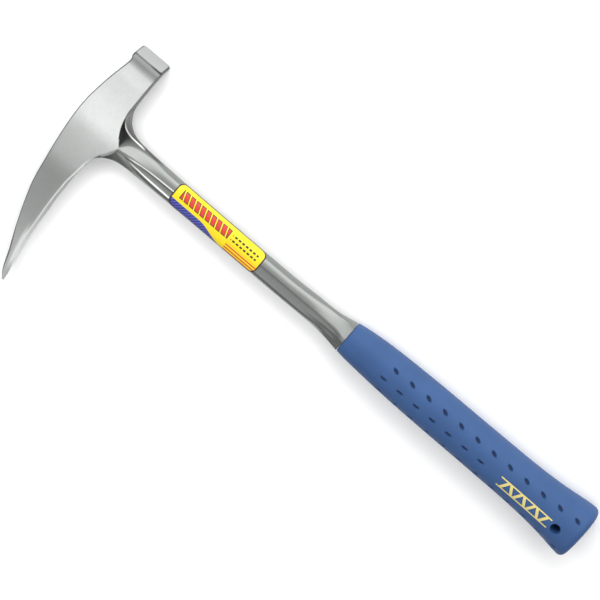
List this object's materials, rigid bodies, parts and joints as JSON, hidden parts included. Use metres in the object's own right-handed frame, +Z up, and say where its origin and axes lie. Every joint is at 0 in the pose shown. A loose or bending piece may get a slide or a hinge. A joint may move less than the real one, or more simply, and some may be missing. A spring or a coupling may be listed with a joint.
{
  "type": "rock hammer",
  "caption": "Long-handled rock pick: square striking face, curved pointed pick and grooved shank in one steel forging, with a moulded vinyl grip and a lanyard hole.",
  "frame": {"origin": "on the bench, under the middle of the hammer as it lies on its side", "axes": "+X down the handle from the head to the butt, +Y along the head toward the striking face, +Z up from the bench. The handle's axis leans 0.94 degrees up toward the butt, because the hammer rests on its poll and on the wider butt."},
  "size_m": [0.4199, 0.1896, 0.0319],
  "materials": {
    "forged_steel": "head satin ground, shank polished",
    "blue_vinyl": "moulded vinyl with a soft sheen",
    "label_film": "printed film sticker",
    "gold_foil": "hot stamped foil"
  },
  "bodies": {
    "root": {"steel_forging": "forged_steel", "grip": "blue_vinyl", "shank_label": "label_film", "grip_emblem": "gold_foil"}
  },
  "joints": []
}
